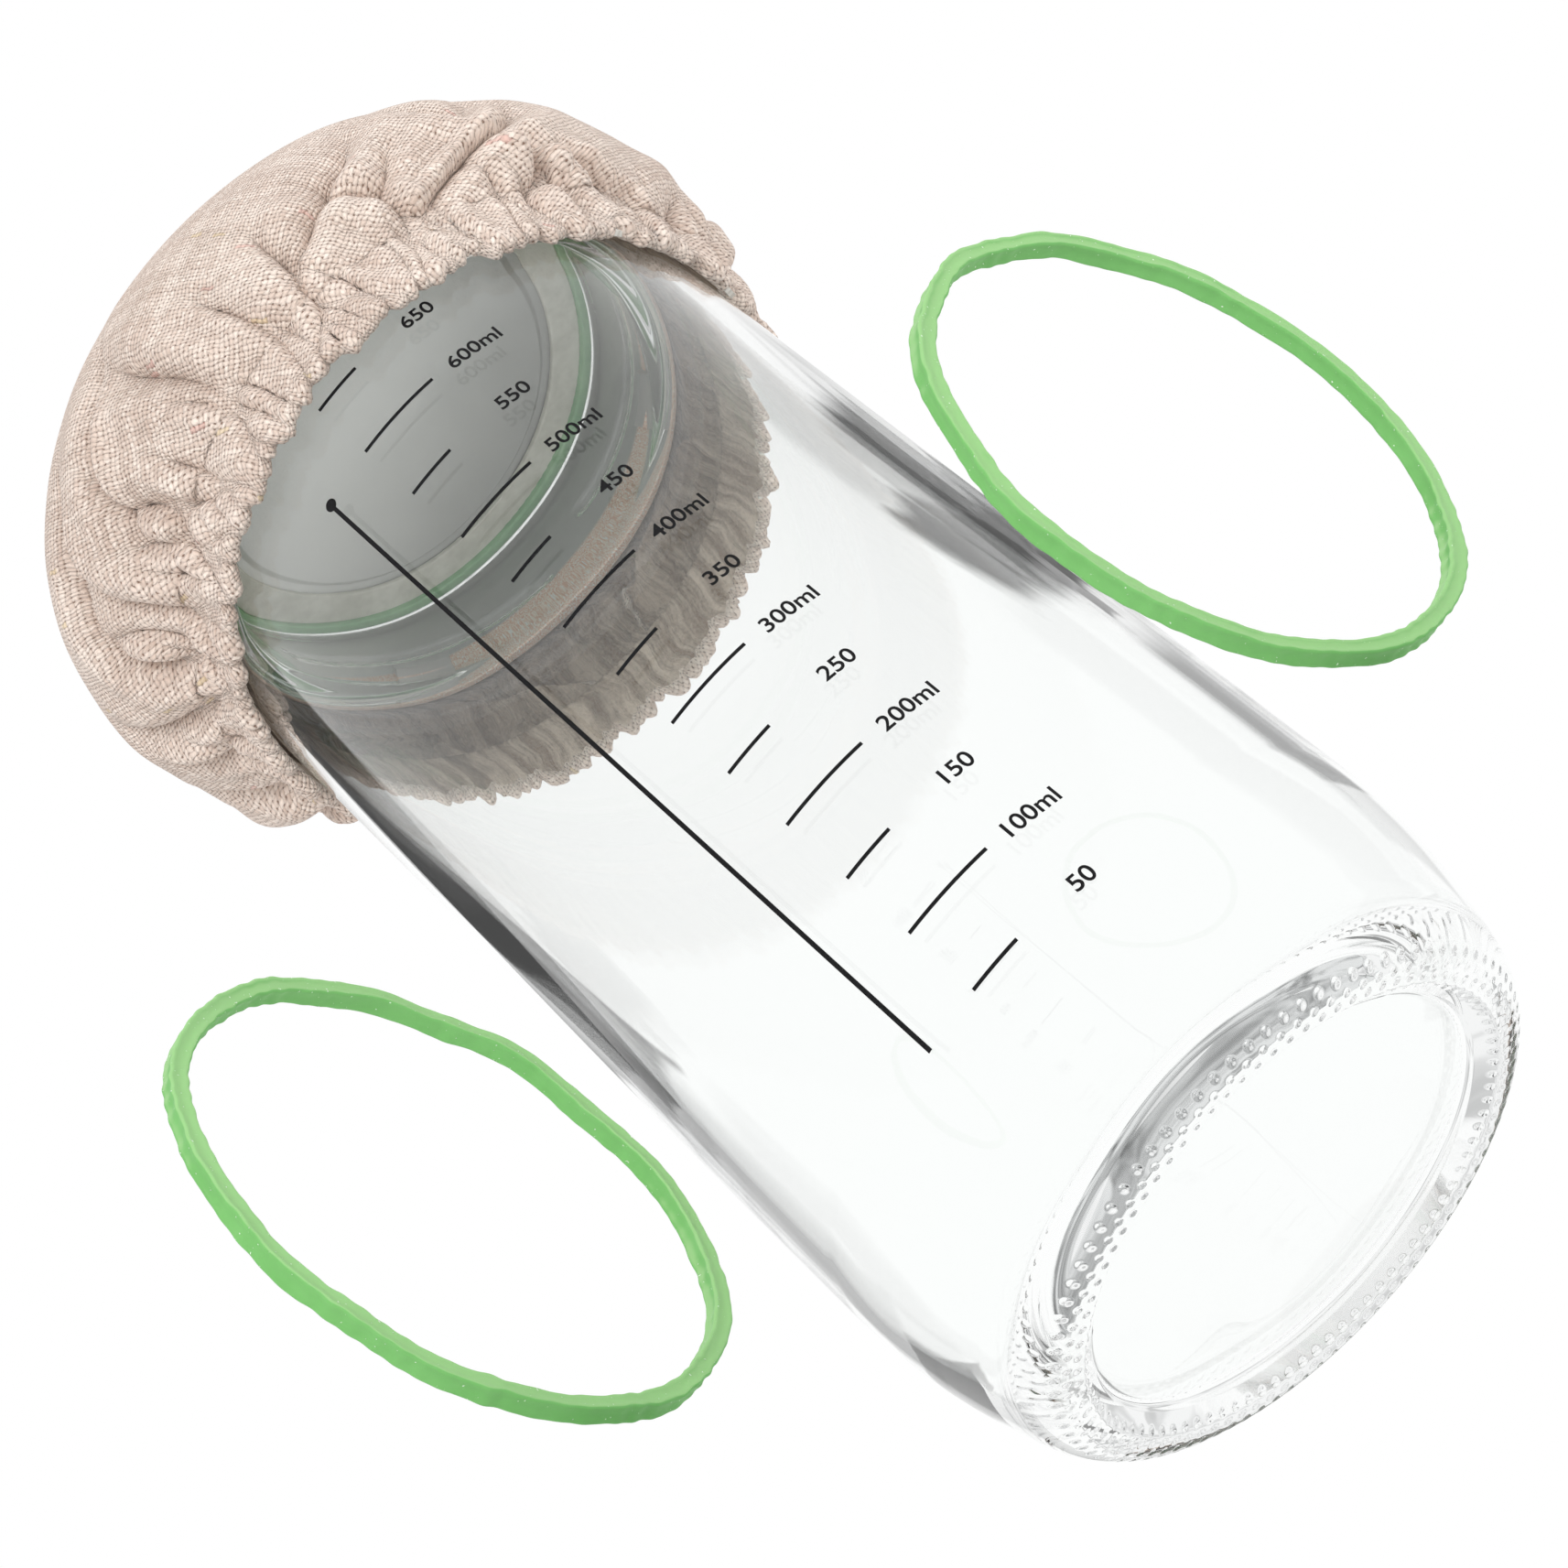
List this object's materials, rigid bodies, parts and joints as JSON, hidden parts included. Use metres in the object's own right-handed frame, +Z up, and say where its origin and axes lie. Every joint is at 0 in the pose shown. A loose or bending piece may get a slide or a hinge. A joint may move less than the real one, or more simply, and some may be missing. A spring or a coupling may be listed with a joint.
{
  "type": "sourdough starter jar",
  "caption": "Tall glass jar with a printed volume scale, a sealed metal lid, a gathered linen cover with an elastic hem, and loose silicone level bands.",
  "frame": {"origin": "centre of the jar's base, on the plane of its bearing ring", "axes": "+Z up along the jar's axis, the printed scale faces -Y"},
  "size_m": [0.1344, 0.1598, 0.204],
  "materials": {
    "clear_glass": "clear, fire-polished",
    "lid_metal": "satin rolled sheet",
    "seal_green": "matte silicone",
    "seal_cream": "matte silicone",
    "linen": "coarse plain weave",
    "elastic": "knitted elastic",
    "band_green": "matte silicone",
    "scale_ink": "printed ink"
  },
  "bodies": {
    "jar": {"jar_body": "clear_glass", "feed_line": "scale_ink", "feed_dot": "scale_ink", "mark_050": "scale_ink", "mark_100": "scale_ink", "mark_150": "scale_ink", "mark_200": "scale_ink", "mark_250": "scale_ink", "mark_300": "scale_ink", "mark_350": "scale_ink", "mark_400": "scale_ink", "mark_450": "scale_ink", "mark_500": "scale_ink", "mark_550": "scale_ink", "mark_600": "scale_ink", "mark_650": "scale_ink"},
    "seal": {"lid_gasket": "seal_green", "lid_liner": "seal_cream"},
    "lid": {"lid_shell": "lid_metal"},
    "cover": {"cover_cloth": "linen", "cover_elastic": "elastic"},
    "band_left": {"band_left": "band_green"},
    "band_right": {"band_right": "band_green"}
  },
  "joints": [
    {"name": "lid_lift", "type": "slide", "parent": "jar", "child": "seal", "axis": [0, 0, 1], "range_m": [0, 0.0481]},
    {"name": "lid_turn", "type": "hinge", "parent": "seal", "child": "lid", "pos_m": [0, 0, 0.182], "axis": [0, 0, 1], "range_deg": [0, 1080]},
    {"name": "cover_lift", "type": "slide", "parent": "seal", "child": "cover", "axis": [0, 0, 1], "range_m": [0, 0.06]},
    {"name": "band_left_lift", "type": "slide", "parent": "jar", "child": "band_left", "axis": [0, 0, 1], "range_m": [0, 0.06]},
    {"name": "band_right_lift", "type": "slide", "parent": "jar", "child": "band_right", "axis": [0, 0, 1], "range_m": [0, 0.06]}
  ],
  "couplings": [
    {"joint": "lid_lift", "follows": "lid_turn", "m_per_rad": 0.0025465}
  ]
}
